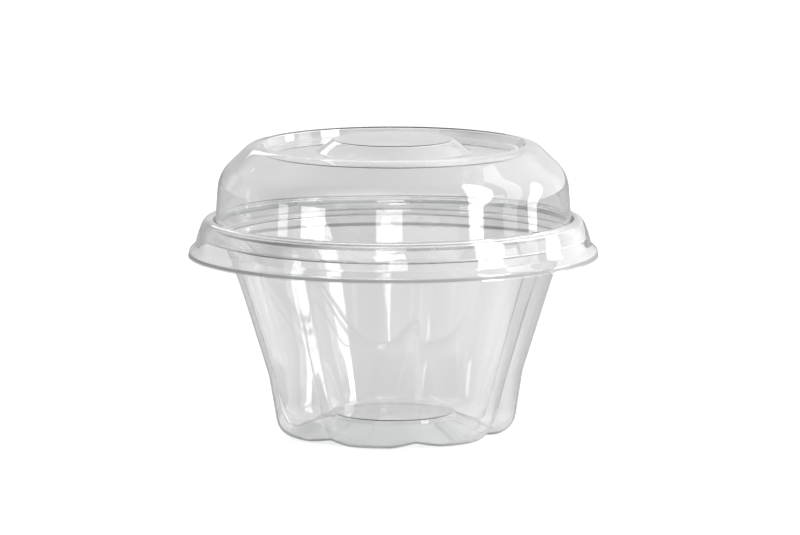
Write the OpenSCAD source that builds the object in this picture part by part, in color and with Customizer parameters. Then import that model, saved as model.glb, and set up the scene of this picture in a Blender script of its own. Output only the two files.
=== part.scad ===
// Clear dessert cup with a lobed foot, and the dome lid that snaps over its rim.
// Each of the two is thermoformed from one sheet of clear plastic, so each is one piece.
// Millimetres, +Z up. The origin is the middle of the foot, on the surface that the cup stands on.

/* [Sheet] */
// Thickness of the cup's wall
cup_sheet = 0.4; // [0.3:0.05:0.6]
// Thickness of the lid's wall
lid_sheet = 0.4; // [0.3:0.05:0.6]

/* [Cup rim] */
// Diameter across the rim, at its cut edge
rim_d = 98; // [90:1:110]
// Height of the rim's top above the table
cup_h = 54.2; // [48:0.5:65]
// Width of the rim, from the mouth's inner wall to the cut edge
rim_w = 2.6; // [2.4:0.1:4]
// How far the rim's outer wall turns down
rim_drop = 3.9; // [3:0.1:4.5]
// Lean of the rim's outer wall from upright, in degrees
rim_lean = 17.5; // [12:0.5:20]
// Rounding of the rim's outer top edge
rim_round = 1; // [0.6:0.1:1]
// Depth from the rim's top down to the stacking ledge
mouth_depth = 4.8; // [4.4:0.1:7]
// Width of the stacking ledge
ledge_w = 2.9; // [2:0.1:4]
// How far the ledge stands inside the wall, which keeps stacked cups from jamming
stack_lip = 0.15; // [0.1:0.05:0.4]

/* [Cup body] */
// Diameter at the waist, where the tapered wall turns upright
waist_d = 65.8; // [63:0.5:70]
// Height of the waist
waist_h = 15.7; // [12:0.5:20]
// Rounding of the wall at the waist
waist_round = 12; // [4:1:16]
// Diameter across the foot, before its corner is rounded
foot_d = 61; // [56:0.5:62]
// Rounding of the foot's corner
foot_round = 5; // [3:0.5:5.5]
// Width of the flat ring that the foot stands on
foot_land = 1.2; // [0.6:0.1:2]
// Diameter of the raised disc in the middle of the base
disc_d = 31; // [26:0.5:34]
// Height of the raised disc above the table
disc_h = 5; // [3:0.25:7]
// Height of the small step round the disc
disc_step = 1.1; // [0.6:0.1:1.8]

/* [Lobes] */
// Number of lobes round the foot
lobes = 7; // [5:1:9]
// Depth of the valleys between the lobes, at the foot
valley_depth = 3.4; // [2.4:0.1:4]
// Depth of the valleys on the tapered wall, from the waist up
wall_valley = 1.7; // [0.8:0.1:2.4]
// How far below the ledge the valleys begin
valley_fade = 1; // [0:0.5:8]
// Height over which they deepen from there
valley_run = 13; // [6:1:24]
// How far each valley is lifted off the table at the foot
valley_lift = 1.2; // [0.4:0.1:2]

/* [Lid fit] */
// Running clearance between the lid and the cup's rim
fit_gap = 0.3; // [0.2:0.05:0.5]
// Rounding of the lid's bead, on its outer top edge
bead_round = 2.2; // [1.6:0.1:2.4]
// Depth of the groove behind the bead
groove_depth = 1.9; // [1.4:0.1:3]
// Width of the groove's floor
groove_w = 0.4; // [0.3:0.05:0.8]
// Height of the skirt, from the bead's top to where it flares
skirt_h = 6.5; // [5.5:0.1:8]
// How far the flare at the skirt's foot stands out
flare_w = 1.9; // [1:0.1:3]
// Height of the flare
flare_h = 1.9; // [1.2:0.1:3]
// Height of the upright lip below the flare
lip_h = 1.2; // [0.6:0.1:2]

/* [Lid dome] */
// Height of the dome's crown above the cup's rim
dome_h = 19.7; // [16:0.5:30]
// Lean of the dome's side wall from upright, in degrees
dome_lean = 4.2; // [2:0.2:7]
// Height of the sloped shoulder between the side wall and the crown
shoulder_h = 7.8; // [6.5:0.1:10]
// Slope of the shoulder from level, in degrees
shoulder_slope = 44; // [40:1:50]
// Rounding where the shoulder meets the side wall
shoulder_round = 9; // [5:0.5:10]
// Rounding where the shoulder meets the crown
crown_round = 5.5; // [3:0.5:5.5]
// Width of the crown, from the recess to the top of the shoulder
crown_w = 2.9; // [2.9:0.1:5]
// Depth of the recess in the lid's top
recess_depth = 2.1; // [1.2:0.1:3]
// Diameter of the raised button in the recess, at its top
button_d = 30.4; // [24:0.4:36]
// Height of the button above the recess's floor
button_h = 3.1; // [2:0.1:4]
// Slope of the button's side from level, in degrees
button_slope = 36; // [30:1:50]

/* [Hidden] */
clear_cup = [0.84, 0.87, 0.88, 0.55];
clear_lid = [0.88, 0.90, 0.91, 0.5];
$fn = 180;

// Every bend of a sheet is drawn in steps of about this many degrees
bend_step = 13;
// Steps round the cup within each lobe
lobe_steps = 14;
// Share of a valley's depth up to which the foot still lies flat on the table
pad_share = 0.2;
// Heights between rows of points up the tapered wall
wall_rows = 5;
// Small rounding of a fold in the sheet, on its inside
fold = 0.2;
// Lean from upright of the mouth's wall, the recess's wall and the disc's step, in degrees
wall_lean = 3;
recess_lean = 20;
step_lean = 30;
// Roundings of the base inside the foot, the button, the skirt above its flare, and the lip
base_round = 3;
button_round = 1;
skirt_round = 2;
lip_round = 1;

// Sizes that follow from the ones above
rim_r = rim_d / 2;
mouth_r = rim_r - rim_w;
ledge_z = cup_h - mouth_depth;
wall_top_r = mouth_r - ledge_w;
waist_r = waist_d / 2;
foot_r = foot_d / 2;
disc_r = disc_d / 2;
valley_top = ledge_z - valley_fade;
foot_lean = atan((waist_r - foot_r) / waist_h);
land_r = foot_r - foot_round * tan(45 - foot_lean / 2) - foot_land;
bead_z = cup_h + fit_gap + lid_sheet;
plug_r = mouth_r - fit_gap - lid_sheet;

// Plain vector steps in the plane of a section
function unit(v) = v / norm(v);
function left(v) = [-v.y, v.x];
function flat(p) = [p.x, p.y];
function turned(v, a) = [v.x * cos(a) - v.y * sin(a), v.x * sin(a) + v.y * cos(a)];

// A path is a list of corners [radius from the axis, height, rounding]. These give the
// directions in which it comes to a corner and leaves it, and how far it turns there.
function way_in(path, i) = unit(flat(path[max(i, 1)]) - flat(path[max(i, 1) - 1]));
function way_out(path, i) = way_in(path, min(i + 1, len(path) - 1));
function turn(path, i) =
    let (u = way_in(path, i), v = way_out(path, i))
    atan2(cross(u, v), u * v);

// The same path moved to its left by d, with each rounding kept parallel
function moved(path, d) = [
    for (i = [0 : len(path) - 1])
        let (side = left(way_in(path, i)) + left(way_out(path, i)))
        let (p = flat(path[i]) + d * side / (1 + way_in(path, i) * way_out(path, i)))
        [p.x, p.y, max(0, path[i].z - d * sign(turn(path, i)))]
];

// The points of one rounded corner, and of a whole path
function bend(p, u, v, r, a) =
    let (n = max(1, ceil(abs(a) / bend_step)), start = p - u * r * tan(abs(a) / 2))
    let (centre = start + left(u) * r * sign(a))
    [for (k = [0 : n]) centre + turned(start - centre, a * k / n)];

function bent(path) = [
    for (i = [0 : len(path) - 1])
        let (a = turn(path, i), sharp = (path[i].z <= 0 || abs(a) < 1))
        for (p = sharp ? [for (k = [0 : abs(a) < 1 ? 0 : ceil(abs(a) / bend_step)]) flat(path[i])]
                       : bend(flat(path[i]), way_in(path, i), way_out(path, i), path[i].z, a)) p
];

// The closed section of a sheet of thickness t that lies on the left of a path (t below 0: right)
function reversed(list) = [for (i = [len(list) - 1 : -1 : 0]) list[i]];
function unrepeated(list) = [
    for (i = [0 : len(list) - 1])
        if (i == 0 || norm(list[i] - list[max(i, 1) - 1]) > 0.001) list[i]
];
function sheet(path, t) = unrepeated(concat(bent(path), reversed(bent(moved(path, t)))));

// The cup's outer face, from the middle of the base to the top of the wall
function body_path() = [
    [0, disc_h, 0],
    [disc_r, disc_h, fold],
    [disc_r + disc_step * tan(step_lean), disc_h - disc_step, fold + cup_sheet],
    [land_r, 0, base_round],
    [foot_r, 0, foot_round],
    [waist_r, waist_h, waist_round],
    [wall_top_r, ledge_z + cup_sheet / 2, 0]
];

// The tapered wall gets rows between its bends, because the valleys fade along it. The rows
// close up towards the ledge, where they fade fastest.
function with_wall_rows(points) =
    let (top = points[len(points) - 1], low = points[len(points) - 2])
    concat(
        [for (i = [0 : len(points) - 2]) points[i]],
        [for (k = [wall_rows - 1 : -1 : 0]) top + (low - top) * (k / wall_rows) ^ 2]
    );

// Seen from above, each lobe is an arc about a centre that lies off the cup's axis. This gives
// the share of the valley's depth at an angle: 0 on a lobe's crown and 1 in the valley's crease.
function valley_share(a) =
    let (half = 180 / lobes, valley_r = foot_r - valley_depth)
    let (off = (foot_r ^ 2 - valley_r ^ 2) / 2 / (foot_r - valley_r * cos(half)))
    let (b = (a + half) % (2 * half) - half)
    (foot_r - off * cos(b) - sqrt((foot_r - off) ^ 2 - (off * sin(b)) ^ 2)) / valley_depth;

// The valley's depth and lift at a point of the crown's outline. The depth grows below the
// ledge, stays even down to the waist, grows on to the foot, and fades again under the foot,
// towards the raised disc. Between the valleys the foot has level pads, on which the cup stands.
function limit(x) = max(0, min(1, x));
function floor_share(r) = limit((r - disc_r) / (foot_r - disc_r));
function below_waist(z) = limit(1 - z / waist_h);
function begun(z) = sqrt(limit((valley_top - z) / valley_run));
function wall_depth(z) = begun(z) * (wall_valley + (valley_depth - wall_valley) * below_waist(z));
function off_pad(s) = limit((s - pad_share) / (1 - pad_share));
function depth_at(p) = wall_depth(p.y) * floor_share(p.x) ^ 3;
function lift_at(p) = valley_lift * floor_share(p.x) * below_waist(p.y);

// One ring of points round the cup. Both faces of the sheet take the valley of the outer face
// at the same place on the outline, so the sheet keeps its thickness.
function lobed_ring(p, outer) = [
    for (k = [0 : lobes * lobe_steps - 1])
        let (a = 360 * k / (lobes * lobe_steps), s = valley_share(a), r = p.x - depth_at(outer) * s)
        [r * cos(a), r * sin(a), p.y + lift_at(outer) * off_pad(s)]
];

// A closed skin over rings of points, with a middle point at each end
module skin(rings, first, last) {
    n = len(rings[0]);
    m = len(rings);
    points = concat([for (ring = rings) each ring], [first, last]);
    sides = [
        for (j = [0 : m - 2], k = [0 : n - 1])
            let (a = j * n + k, b = j * n + (k + 1) % n)
            each [[a, a + n, b], [b, a + n, b + n]]
    ];
    start_cap = [for (k = [0 : n - 1]) [m * n, k, (k + 1) % n]];
    end_cap = [for (k = [0 : n - 1]) [m * n + 1, (m - 1) * n + (k + 1) % n, (m - 1) * n + k]];
    polyhedron(points, concat(sides, start_cap, end_cap));
}

module cup_body() {
    outer = with_wall_rows(bent(body_path()));
    inner = with_wall_rows(bent(moved(body_path(), cup_sheet)));
    last = len(outer) - 1;
    rings = concat(
        [for (i = [1 : last]) lobed_ring(outer[i], outer[i])],
        [for (i = [last : -1 : 1]) lobed_ring(inner[i], outer[i])]
    );
    skin(rings, [0, 0, disc_h], [0, 0, disc_h + cup_sheet]);
}

// The ledge, the mouth's wall and the turned-down rim, round all the way
module cup_rim() {
    mouth_foot_r = mouth_r - mouth_depth * tan(wall_lean);
    rim_top_r = rim_r - rim_drop * tan(rim_lean);
    path = [
        [wall_top_r - cup_sheet - stack_lip, ledge_z + cup_sheet, 0],
        [mouth_foot_r, ledge_z + cup_sheet, fold],
        [mouth_r, cup_h, fold + cup_sheet],
        [rim_top_r, cup_h, rim_round],
        [rim_r, cup_h - rim_drop, 0]
    ];
    rotate_extrude() polygon(sheet(path, -cup_sheet));
}

module cup() {
    color(clear_cup) union() {
        cup_body();
        cup_rim();
    }
}

// The lid's upper face, from the middle of the button out to the cut edge of its lip
function lid_path() =
    let (crown_z = cup_h + dome_h)
    let (floor_z = crown_z - recess_depth)
    let (groove_z = bead_z - groove_depth)
    let (wall_foot_r = plug_r - groove_depth * tan(wall_lean) - groove_w)
    let (wall_top_z = crown_z - shoulder_h)
    let (dome_r = wall_foot_r - (wall_top_z - groove_z) * tan(dome_lean))
    let (crown_r = dome_r - shoulder_h / tan(shoulder_slope))
    let (recess_r = crown_r - crown_w)
    let (rim_side = (fit_gap + lid_sheet) / cos(rim_lean))
    let (skirt_top_r = rim_r + rim_side - (bead_z - cup_h + rim_drop) * tan(rim_lean))
    let (skirt_foot_r = skirt_top_r + skirt_h * tan(rim_lean))
    let (lip_z = bead_z - skirt_h - flare_h)
    [
        [0, floor_z + button_h, 0],
        [button_d / 2, floor_z + button_h, button_round],
        [button_d / 2 + button_h / tan(button_slope), floor_z, button_round],
        [recess_r - recess_depth * tan(recess_lean), floor_z, fold],
        [recess_r, crown_z, 2 * fold],
        [crown_r, crown_z, crown_round],
        [dome_r, wall_top_z, shoulder_round],
        [wall_foot_r, groove_z, fold],
        [plug_r - groove_depth * tan(wall_lean), groove_z, fold / 2],
        [plug_r, bead_z, fold + lid_sheet],
        [skirt_top_r, bead_z, bead_round],
        [skirt_foot_r, bead_z - skirt_h, skirt_round],
        [skirt_foot_r + flare_w, lip_z, lip_round],
        [skirt_foot_r + flare_w, lip_z - lip_h, 0]
    ];

module lid() {
    color(clear_lid) rotate_extrude() polygon(sheet(lid_path(), -lid_sheet));
}

cup();
lid();
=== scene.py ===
import math

import bpy
import mathutils
import numpy as np
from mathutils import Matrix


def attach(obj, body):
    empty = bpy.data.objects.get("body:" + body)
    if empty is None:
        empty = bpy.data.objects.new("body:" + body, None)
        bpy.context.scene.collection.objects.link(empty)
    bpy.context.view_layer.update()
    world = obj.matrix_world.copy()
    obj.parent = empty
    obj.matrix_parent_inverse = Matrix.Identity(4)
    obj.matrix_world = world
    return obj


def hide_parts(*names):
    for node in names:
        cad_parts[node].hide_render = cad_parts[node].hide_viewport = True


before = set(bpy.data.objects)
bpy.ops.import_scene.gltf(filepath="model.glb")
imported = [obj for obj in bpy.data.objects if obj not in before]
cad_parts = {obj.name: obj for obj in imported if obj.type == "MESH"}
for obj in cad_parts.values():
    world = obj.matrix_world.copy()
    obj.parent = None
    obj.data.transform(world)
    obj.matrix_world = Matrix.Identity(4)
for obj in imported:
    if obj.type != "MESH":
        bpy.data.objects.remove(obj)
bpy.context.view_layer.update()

# The cup. One sheet of clear PET, heated and drawn down into a mould by vacuum: disc and foot, the
# wall with its lobes, the stacking ledge and the mouth, and last the rim, which is turned down and
# cut with a die. Its sizes are in millimetres.
CUP_SHEET = 0.4
DISC_TOP = 5.4
LEDGE_TOP = 49.8
RIM_TOP = 54.2
DISC_R = 15.5
FOOT_R = 30.5
WAIST_H = 15.7
LOBES = 7

# The valleys between the lobes: how deep they are at the foot and on the tapered wall, where they
# begin and over what height they deepen, how far they are lifted off the table, and up to what
# share of their depth the foot still lies flat on it
VALLEY_DEPTH = 3.4
WALL_VALLEY = 1.7
VALLEY_TOP = 48.4
VALLEY_RUN = 13
VALLEY_LIFT = 1.2
PAD_SHARE = 0.2

# Corners of the sheet's inner face, from the middle of the base out to the rim's cut edge:
# radius, height and rounding
cup_corners = [
    (0, DISC_TOP, 0),
    (15.73, DISC_TOP, 0.7),  # edge of the raised disc
    (16.36, 4.3, 0.3),  # foot of the disc's step
    (25.09, CUP_SHEET, 2.8),  # start of the level land
    (30.16, CUP_SHEET, 4.6),  # corner of the foot
    (32.49, 15.76, 11.6),  # waist
    (43.14, LEDGE_TOP, 0.75),  # inner edge of the ledge
    (46.15, LEDGE_TOP, 0.3),  # foot of the mouth's wall
    (46.4, RIM_TOP, 0.75),  # inner edge of the rim
    (47.77, RIM_TOP, 1.0),  # outer edge of the rim
    (48.9, 50.62, 0),  # start of the strip that the die has marked
    (49.0, 50.3, 0),  # cut edge
]


def trace(corners, step=6.0, reach=1.5):
    """Points along a path with rounded corners, at most step degrees apart in a bend and reach
    apart in a straight, and at each the direction to its left."""
    spots = np.array([c[:2] for c in corners], float)
    ways = np.diff(spots, axis=0)
    ways /= np.linalg.norm(ways, axis=1)[:, None]
    points = [spots[0]]
    sides = [(-ways[0][1], ways[0][0])]
    for i, way in enumerate(ways):
        left = np.array((-way[1], way[0]))
        turn = 0.0
        if i < len(ways) - 1:
            after = ways[i + 1]
            turn = math.atan2(way[0] * after[1] - way[1] * after[0], way @ after)
        rounding = corners[i + 1][2]
        stop = spots[i + 1] - way * rounding * math.tan(abs(turn) / 2)
        start = points[-1]
        cuts = max(1, math.ceil(np.linalg.norm(stop - start) / reach))
        for k in range(1, cuts + 1):
            points.append(start + (stop - start) * k / cuts)
            sides.append(left)
        if rounding > 0:
            centre = stop + left * rounding * math.copysign(1, turn)
            arm = stop - centre
            bends = max(2, math.ceil(abs(math.degrees(turn)) / step))
            for k in range(1, bends + 1):
                c = math.cos(turn * k / bends)
                s = math.sin(turn * k / bends)
                points.append(centre + (c * arm[0] - s * arm[1], s * arm[0] + c * arm[1]))
                sides.append((c * left[0] - s * left[1], s * left[0] + c * left[1]))
    return np.array(points), np.array(sides)


def sheet_mesh(name, rings, poles):
    """A closed skin over rings of points in millimetres, with a pole before the first and one
    after the last, smooth but for its sharp edges."""
    rings = np.asarray(rings)
    rows, around = rings.shape[:2]
    points = np.vstack([rings.reshape(-1, 3), poles]) / 1000
    here = np.arange(rows * around).reshape(rows, around)
    beside = np.roll(here, -1, axis=1)
    quads = np.stack([here[:-1], here[1:], beside[1:], beside[:-1]], axis=-1)
    first = [(rows * around, m, n) for m, n in zip(here[0], beside[0])]
    last = [(rows * around + 1, n, m) for m, n in zip(here[-1], beside[-1])]
    mesh = bpy.data.meshes.new(name)
    mesh.from_pydata(points.tolist(), [], quads.reshape(-1, 4).tolist() + first + last)
    mesh.shade_smooth()
    mesh.set_sharp_from_angle(angle=math.radians(50))
    shell = bpy.data.objects.new(name, mesh)
    bpy.context.scene.collection.objects.link(shell)
    return shell


def paint(shell, around, material, rows, columns=None):
    """Give a material to some rows of a sheet's first face and to the rows right behind them.
    around is the number of steps round the shell, and columns picks some of them."""
    number = shell.data.materials.find(material)
    last = (len(shell.data.vertices) - 2) // around - 2
    for row in rows:
        for side in (row, last - row):
            for column in range(around) if columns is None else columns:
                shell.data.polygons[side * around + column].material_index = number


def valley_share(turns):
    """How much of a valley's depth there is at each angle: 0 on a lobe's crown, 1 in the crease,
    which is rounded by about a millimetre."""
    half = math.pi / LOBES
    valley_r = FOOT_R - VALLEY_DEPTH
    off = (FOOT_R**2 - valley_r**2) / 2 / (FOOT_R - valley_r * math.cos(half))
    away = half - np.abs((turns + half) % (2 * half) - half)
    soft = math.radians(1.6)
    away = np.sqrt(away**2 + soft**2) - soft * (1 - away / half)
    away = half - np.clip(away, 0, half)
    reach = np.sqrt((FOOT_R - off) ** 2 - (off * np.sin(away)) ** 2)
    return (FOOT_R - off * np.cos(away) - reach) / VALLEY_DEPTH


def lobed_rings(face, outer, turns):
    """Rings of one face of the cup, pulled in and lifted at the valleys as its outer face is."""
    share = valley_share(turns)
    rings = []
    for (r, z), (outer_r, outer_z) in zip(face, outer):
        below_waist = np.clip(1 - outer_z / WAIST_H, 0, 1)
        depth = WALL_VALLEY + (VALLEY_DEPTH - WALL_VALLEY) * below_waist
        depth *= np.sqrt(np.clip((VALLEY_TOP - outer_z) / VALLEY_RUN, 0, 1))
        out = np.clip((outer_r - DISC_R) / (FOOT_R - DISC_R), 0, 1)
        radius = r - depth * out**3 * share
        raised = np.clip((share - PAD_SHARE) / (1 - PAD_SHARE), 0, 1)
        height = z + VALLEY_LIFT * out * below_waist * raised
        rings.append(np.stack([radius * np.cos(turns), radius * np.sin(turns), height], axis=1))
    return rings


# Steps round the cup lie closer together towards the creases
LOBE_STEPS = 36
STEP_POWER = 1.35
inner, lefts = trace(cup_corners)
outer = inner - CUP_SHEET * lefts
in_lobe = np.linspace(-1, 1, LOBE_STEPS + 1)[:-1]
in_lobe = np.sign(in_lobe) * (1 - (1 - np.abs(in_lobe)) ** STEP_POWER) * math.pi / LOBES
cup_turns = np.concatenate([in_lobe + 2 * math.pi * n / LOBES for n in range(LOBES)])
cup = sheet_mesh(
    "cup_shell",
    lobed_rings(inner[1:], outer[1:], cup_turns) + lobed_rings(outer[:0:-1], outer[:0:-1], cup_turns),
    [(0, 0, inner[0][1]), (0, 0, outer[0][1])],
)


def colour(text):
    """An sRGB hex colour as linear RGBA."""
    parts = [int(text[i : i + 2], 16) / 255 for i in (1, 3, 5)]
    return [p / 12.92 if p <= 0.04045 else ((p + 0.055) / 1.055) ** 2.4 for p in parts] + [1]


def add(tree, kind, inputs=None, **settings):
    """A node with its settings. inputs gives an input's name or number and what it gets: the
    output of another node, or a plain value."""
    node = tree.nodes.new("ShaderNode" + kind)
    for key, value in settings.items():
        setattr(node, key, value)
    for key, value in (inputs or {}).items():
        if isinstance(value, bpy.types.NodeSocket):
            tree.links.new(value, node.inputs[key])
        else:
            node.inputs[key].default_value = value
    return node


# Thermoformed PET: clear, neutral and glossy. The mould leaves it smooth, but the sheet sags and
# stretches a little unevenly, which bends the reflections, and it has a faint haze in patches.
PET_IOR = 1.575
PET_CLEAR = "#fafafa"
PET_SHADOW = "#f1f2f2"
WAVE_MM = 0.03
HAZE_MM = 9

# The creases get a painted shade: the sheet's tint is painted greyer where it is turned away from
# the eye. That painted shade comes in just above the table and goes out with the valley, at these
# heights in metres, and comes in as it turns, from 0 where it faces the eye to 1 where it is seen
# edge on.
CREASE_FOOT = (0.005, 0.01)
CREASE_TOP = (0.046, 0.034)
CREASE_TURNED = (0.2, 0.45)


def formed_pet(name, stretch, sag_mm, haze, crease=None):
    """Clear PET sheet. Its waves lie sag_mm apart and are stretch times longer up the wall than
    round it, and haze gives its roughness where it is clearest and dullest. crease is the colour
    of the painted shade that it takes in a crease."""
    material = bpy.data.materials.new(name)
    material.use_nodes = True
    tree = material.node_tree
    tree.nodes.clear()
    place = add(tree, "TexCoord").outputs["Object"]
    drawn = add(tree, "Mapping", {"Vector": place, "Scale": (1, 1, 1 / stretch)}).outputs["Vector"]
    waves = add(tree, "TexNoise", {"Vector": drawn, "Scale": 1000 / sag_mm, "Detail": 1.5})
    pulled = add(
        tree, "Bump", {"Height": waves.outputs["Fac"], "Strength": 1, "Distance": WAVE_MM / 1000}
    )
    patches = add(tree, "TexNoise", {"Vector": drawn, "Scale": 1000 / HAZE_MM, "Detail": 3})
    spread = {"From Min": 0.35, "From Max": 0.7, "To Min": haze[0], "To Max": haze[1]}
    dull = add(tree, "MapRange", {"Value": patches.outputs["Fac"], **spread})
    sheet = add(
        tree,
        "BsdfPrincipled",
        {
            "Base Color": colour(PET_CLEAR),
            "Roughness": dull.outputs["Result"],
            "IOR": PET_IOR,
            "Transmission Weight": 1,
            "Normal": pulled.outputs["Normal"],
        },
    )
    # Painted shade: in a crease the tint is mixed towards the crease colour, more where the sheet is
    # seen edge on
    if crease:
        height = add(tree, "SeparateXYZ", {0: place}).outputs["Z"]
        turned = add(tree, "LayerWeight", {"Blend": 0.5}).outputs["Facing"]
        share = 1
        for value, reach in ((height, CREASE_FOOT), (height, CREASE_TOP), (turned, CREASE_TURNED)):
            part = add(tree, "MapRange", {"Value": value, "From Min": reach[0], "From Max": reach[1]})
            both = add(tree, "Math", {0: part.outputs[0], 1: share}, operation="MULTIPLY")
            share = both.outputs[0]
        blend = {0: share, 6: colour(PET_CLEAR), 7: colour(crease)}
        shade = add(tree, "Mix", blend, data_type="RGBA")
        tree.links.new(shade.outputs[2], sheet.inputs["Base Color"])
    shadow = add(tree, "LightPath").outputs["Is Shadow Ray"]
    through = add(tree, "BsdfTransparent", {"Color": colour(PET_SHADOW)})
    surface = add(tree, "MixShader", {0: shadow, 1: sheet.outputs[0], 2: through.outputs[0]})
    add(tree, "OutputMaterial", {"Surface": surface.outputs[0]})
    return material


# Cut or pinched PET: a die's cut, or a sharp edge of the mould, leaves it rougher than the sheet.
# Its greyer colour is painted shade, so that it reads as a line. How rough it is changes over a few
# millimetres.
NICK_MM = 6


def cut_pet(name, shade, roughness):
    """Clear PET whose surface a tool has left rough, between the two values of roughness, and whose
    colour shade is a painted shade.
    """
    material = bpy.data.materials.new(name)
    material.use_nodes = True
    tree = material.node_tree
    place = add(tree, "TexCoord").outputs["Object"]
    nicks = add(tree, "TexNoise", {"Vector": place, "Scale": 1000 / NICK_MM, "Detail": 2})
    spread = {"From Min": 0.3, "From Max": 0.7, "To Min": roughness[0], "To Max": roughness[1]}
    rough = add(tree, "MapRange", {"Value": nicks.outputs["Fac"], **spread})
    edge = tree.nodes["Principled BSDF"]
    # Painted shade: the grey colour draws the edge's dark line
    edge.inputs["Base Color"].default_value = colour(shade)
    edge.inputs["IOR"].default_value = PET_IOR
    edge.inputs["Transmission Weight"].default_value = 0.5
    tree.links.new(rough.outputs["Result"], edge.inputs["Roughness"])
    return material


# The die-cut edge and the creases get materials with painted shade, greyer colours that draw their
# lines
for material in (
    formed_pet("formed_clear_pet_cup", stretch=3, sag_mm=18, haze=(0.015, 0.05)),
    cut_pet("die_cut_pet_edge_painted_shade_cup", "#d8dadb", (0.25, 0.45)),
    formed_pet("folded_pet_painted_shade_cup", stretch=3, sag_mm=18, haze=(0.02, 0.06), crease="#b4b6b7"),
):
    cup.data.materials.append(material)

# The cut edge and the strip beside it, and the creases: their half width in radians, and the
# heights between which they have a material of their own, with a painted shade
CREASE_HALF = 0.0185
CREASE_FROM = 6
CREASE_TO = 46
cut_row = len(inner) - 2
creases = math.pi / LOBES * np.arange(-1, 2 * LOBES + 1, 2)
off_crease = np.abs(cup_turns[:, None] - creases).min(axis=1)
crease_columns = np.flatnonzero(off_crease < CREASE_HALF)
crease_rows = [k for k in range(len(outer) - 1) if CREASE_FROM < outer[k + 1][1] < CREASE_TO]
paint(cup, len(cup_turns), "die_cut_pet_edge_painted_shade_cup", (cut_row - 1, cut_row))
paint(cup, len(cup_turns), "folded_pet_painted_shade_cup", crease_rows, crease_columns)
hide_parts("cup")
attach(cup, "cup")

# The lid. A second sheet of the same clear PET, formed as a dome with a raised button in a shallow
# recess. Its groove drops inside the cup's mouth, and its bead and skirt snap over the rim. The
# sizes are in millimetres again.
LID_SHEET = 0.4
LID_STEPS = 240
BUTTON_TOP = 74.9
RECESS_FLOOR = 71.8
CROWN_TOP = 73.9
GROOVE_FLOOR = 53.0
GROOVE_SIDE = 53.7
BEAD_R = 45.7
BEAD_TOP = 54.9

# Corners of the sheet's upper face, from the middle of the button out to the cut edge of the lip:
# radius, height and rounding
lid_corners = [
    (0, BUTTON_TOP, 0),
    (15.2, BUTTON_TOP, 1.0),  # edge of the button
    (19.47, RECESS_FLOOR, 1.0),  # foot of the button
    (32.5, RECESS_FLOOR, 0.25),  # foot of the recess's wall
    (33.27, CROWN_TOP, 0.65),  # inner edge of the crown
    (36.17, CROWN_TOP, 5.5),  # outer edge of the crown
    (44.25, 66.1, 9.0),  # where the shoulder meets the side wall
    (45.16, GROOVE_SIDE, 0),  # the mould pinches the sheet from here
    (45.21, GROOVE_FLOOR, 0.2),  # inner edge of the groove's floor
    (45.6, GROOVE_FLOOR, 0.1),  # outer edge of the groove's floor
    (45.637, GROOVE_SIDE, 0),  # to here
    (BEAD_R, BEAD_TOP, 0.6),  # inner edge of the bead
    (47.75, BEAD_TOP, 1.75),  # outer edge of the bead
    (48.75, 53.1, 9),  # the skirt
    (49.55, 51.0, 14),
    (50.24, 48.3, 1.1),  # start of the flare
    (51.8, 46.75, 0.9),  # foot of the flare
    (51.98, 45.65, 0),  # start of the strip that the die has marked
    (52.04, 45.3, 0),  # cut edge
]
upper, lefts = trace(lid_corners)
lower = upper - LID_SHEET * lefts
lid_turns = np.linspace(0, 2 * math.pi, LID_STEPS + 1)[:-1]
lid = sheet_mesh(
    "lid_shell",
    [
        np.stack([r * np.cos(lid_turns), r * np.sin(lid_turns), np.full(LID_STEPS, z)], axis=1)
        for r, z in [*upper[1:], *lower[:0:-1]]
    ],
    [(0, 0, upper[0][1]), (0, 0, lower[0][1])],
)
# The lip's cut strip and the groove get materials with painted shade, greyer colours that draw their
# dark lines
for material in (
    formed_pet("formed_clear_pet_lid", stretch=1, sag_mm=20, haze=(0.015, 0.045)),
    cut_pet("die_cut_pet_edge_painted_shade_lid", "#a8aaac", (0.25, 0.45)),
    cut_pet("pinched_pet_groove_painted_shade_lid", "#c6c8ca", (0.15, 0.3)),
):
    lid.data.materials.append(material)

# The strip just above the lip's cut edge, and the pinched groove, which both get a painted shade
cut_row = len(upper) - 2
groove_rows = [
    k
    for k in range(cut_row)
    if upper[k + 1][0] < BEAD_R and round(upper[k + 1 : k + 3, 1].max(), 3) <= GROOVE_SIDE
]
paint(lid, LID_STEPS, "die_cut_pet_edge_painted_shade_lid", [cut_row - 2])
paint(lid, LID_STEPS, "pinched_pet_groove_painted_shade_lid", groove_rows)
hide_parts("lid")
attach(lid, "lid")

# The table. A matt white sheet of card, far larger than the view, and a hair below the foot. The
# eye sees it plain white. Through the sheets and in what they mirror of it, its colour is painted
# greyer, with painted light on the ground under the cup and a painted lit spot at the cup's right.
# Sizes are in metres from here on.
FLOOR_HALF = 6
FLOOR_Z = -0.0002
PAINTED_LIT_SPOT = (0.075, -0.035, 0)
floor_mesh = bpy.data.meshes.new("floor")
floor_corners = [(-1, -1), (1, -1), (1, 1), (-1, 1)]
floor_mesh.from_pydata(
    [(x * FLOOR_HALF, y * FLOOR_HALF, FLOOR_Z) for x, y in floor_corners], [], [(0, 1, 2, 3)]
)
floor = bpy.data.objects.new("floor", floor_mesh)
bpy.context.scene.collection.objects.link(floor)

# Pressed white card: matt, with hardly any gloss, so that it shows no lamp
card = bpy.data.materials.new("matt_white_card")
card.use_nodes = True
tree = card.node_tree
ground = add(tree, "TexCoord").outputs["Object"]
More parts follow.
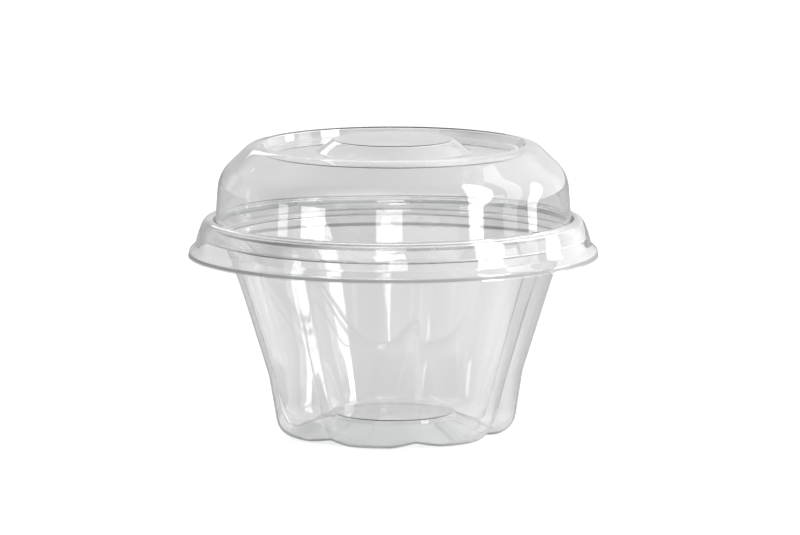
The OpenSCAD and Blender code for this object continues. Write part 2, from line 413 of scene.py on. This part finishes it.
# Painted light and shade: the card's colour is greyer through the sheets and in their reflections,
# and brighter under the cup and at the lit spot
from_spot = add(tree, "VectorMath", {0: ground, 1: PAINTED_LIT_SPOT}, operation="DISTANCE")
from_cup = add(tree, "VectorMath", {0: ground}, operation="LENGTH")
near_spot = {"From Min": 0.02, "From Max": 0.07, "To Min": 1.1, "To Max": 0.38}
near_cup = {"From Min": 0.028, "From Max": 0.055, "To Min": 0.68, "To Max": 0.56}
near_spot["Value"] = from_spot.outputs["Value"]
near_cup["Value"] = from_cup.outputs["Value"]
mirrored = add(tree, "MapRange", near_spot, interpolation_type="SMOOTHSTEP")
through = add(tree, "MapRange", near_cup, interpolation_type="SMOOTHSTEP")
rays = add(tree, "LightPath")
once = add(tree, "Clamp", {"Value": rays.outputs["Glossy Depth"]})
ends = {"To Min": through.outputs[0], "To Max": mirrored.outputs[0]}
dim = add(tree, "MapRange", {"Value": once.outputs[0], **ends}).outputs[0]
shade = add(tree, "Math", {0: dim, 1: rays.outputs["Is Camera Ray"]}, operation="MAXIMUM")
matt = tree.nodes["Principled BSDF"]
tree.links.new(shade.outputs[0], matt.inputs["Base Color"])
matt.inputs["Roughness"].default_value = 0.9
matt.inputs["Specular IOR Level"].default_value = 0.1
floor_mesh.materials.append(card)

# The studio. A white room, a little greyer through the sheets. What they mirror of it is bright
# behind the cup and dim in front, and has soft lamps that draw the highlights.
SEEN_THROUGH = 0.88

# What they mirror is a sum over the direction's parts: from where to where along an axis, and the
# light at each end. The glow low in front, on the left, is a product of the same kind.
ROOM = [
    ("Y", -0.35, 0.4, 0.25, 1.2),  # from the front to the back
    ("X", -0.95, 0.9, -0.45, 0.55),  # from the left to the right
    ("Z", 0.4, 0.8, 0, 0.1),  # up to the ceiling
    ("Y", 0.74, 0.9, 0, -0.46),  # the wall right behind the cup
]
GLOW = [
    ("Y", -0.1, -0.6, 0, 1),
    ("Z", 0.05, 0.35, 0, 1.2),
    ("X", 0.15, -0.2, 0.2, 1),
]
world = bpy.data.worlds.new("studio")
bpy.context.scene.world = world
world.use_nodes = True
air = world.node_tree
air.nodes.clear()
way = add(air, "SeparateXYZ", {0: add(air, "TexCoord").outputs["Generated"]})
totals = []
for operation, total, parts in (("ADD", 0, ROOM), ("MULTIPLY", 1, GLOW)):
    for axis, start, end, low, high in parts:
        span = {"From Min": start, "From Max": end, "To Min": low, "To Max": high}
        part = {"Value": way.outputs[axis], **span}
        light = add(air, "MapRange", part, interpolation_type="SMOOTHSTEP").outputs[0]
        total = add(air, "Math", {0: light, 1: total}, operation=operation).outputs[0]
    totals.append(total)
room = add(air, "Math", {0: totals[0], 1: totals[1]}, operation="ADD")
rays = add(air, "LightPath")
once = add(air, "Clamp", {"Value": rays.outputs["Glossy Depth"]})
more = add(air, "Math", {0: room.outputs[0], 1: SEEN_THROUGH}, operation="SUBTRACT")
more = add(air, "Math", {0: more.outputs[0], 1: once.outputs[0]}, operation="MULTIPLY")
level = add(air, "Math", {0: more.outputs[0], 1: SEEN_THROUGH}, operation="ADD")
level = add(air, "Math", {0: level.outputs[0], 1: rays.outputs["Is Camera Ray"]}, operation="MAXIMUM")
glow = add(air, "Background", {"Color": (1, 1, 1, 1), "Strength": level.outputs[0]})
add(air, "OutputWorld", {"Surface": glow.outputs[0]})

LAMP_AIM = (0, 0, 0.05)


def softbox(name, azimuth, elevation, distance, width, height, brightness, shape="RECTANGLE", roll=0):
    """A soft lamp that faces the cup. Azimuth is in degrees from the camera's side round to the
    right, and roll turns the lamp anticlockwise as seen from the cup. A lamp behind the cup is
    mirrored in the sheets but isn't seen through them."""
    a = math.radians(azimuth)
    e = math.radians(elevation)
    way = np.array((math.sin(a) * math.cos(e), -math.cos(a) * math.cos(e), math.sin(e)))
    lamp = bpy.data.lights.new(name, "AREA")
    lamp.shape = shape
    lamp.size = width
    lamp.size_y = height
    area = width * height * (math.pi / 4 if shape == "ELLIPSE" else 1)
    lamp.energy = brightness * math.pi * area
    box = bpy.data.objects.new(name, lamp)
    box.location = LAMP_AIM + way * distance
    turned = mathutils.Matrix.Rotation(-math.radians(roll), 3, mathutils.Vector(way))
    facing = mathutils.Vector(way).to_track_quat("Z", "Y").to_matrix()
    box.rotation_euler = (turned @ facing).to_euler()
    box.visible_camera = False
    box.visible_transmission = abs(azimuth) < 90
    bpy.context.scene.collection.objects.link(box)


# At the right a tall lamp on its stem, a reflector behind it and a panel beside it
softbox("right_lamp_head", 64.5, 31, 1.5, 0.45, 2.1, 5, "ELLIPSE", 21)
softbox("right_lamp_wide", 66, 16, 1.5, 0.74, 0.54, 1.4)
softbox("right_lamp_stem", 54.5, 1, 1.5, 0.27, 0.36, 5)
softbox("right_panel", 93, 26, 1.5, 0.34, 1.87, 2.2, "RECTANGLE", 26)

# Two low lamps at the left, and a slender one at the far right
softbox("left_lamp", -52.5, -1, 1.5, 0.45, 0.26, 3.8)
softbox("left_lamp_narrow", -75, -1, 1.5, 0.2, 0.26, 2.5)
softbox("side_lamp", 107.5, 12, 0.83, 0.19, 0.62, 6, "ELLIPSE", 32)

# A wide dim screen and three lamps above one another in front, and a window behind
softbox("front_screen", 0, 43, 1.6, 2.4, 0.8, 0.55)
softbox("front_lamp", -2.5, -1, 1.7, 0.5, 0.36, 3.2)
softbox("front_lamp_mid", 3, 21.5, 1.7, 0.3, 0.18, 3)
softbox("front_lamp_top", -2, 29.8, 1.7, 0.5, 0.2, 4, "RECTANGLE", -12)
softbox("back_left_window", -160, 24, 1.6, 0.32, 0.4, 2)

# The camera, at the photograph's angle: a long lens, a little above the level of the rim
EYE_AWAY = 1.6
EYE_TILT = math.radians(8.29)
AIM_X = 0.0017
AIM_Z = 0.042
lens = bpy.data.cameras.new("camera")
lens.lens = 283.7
lens.sensor_width = 36
camera = bpy.data.objects.new("camera", lens)
camera.location = (AIM_X, -EYE_AWAY * math.cos(EYE_TILT), AIM_Z + EYE_AWAY * math.sin(EYE_TILT))
camera.rotation_euler = (math.pi / 2 - EYE_TILT, 0, 0)
bpy.context.scene.collection.objects.link(camera)
bpy.context.scene.camera = camera
bpy.context.scene.view_settings.view_transform = "Standard"

# A line of sight crosses many faces of the two sheets, and light is mirrored between them
bpy.context.scene.cycles.max_bounces = 24
bpy.context.scene.cycles.transmission_bounces = 24
bpy.context.scene.cycles.glossy_bounces = 8
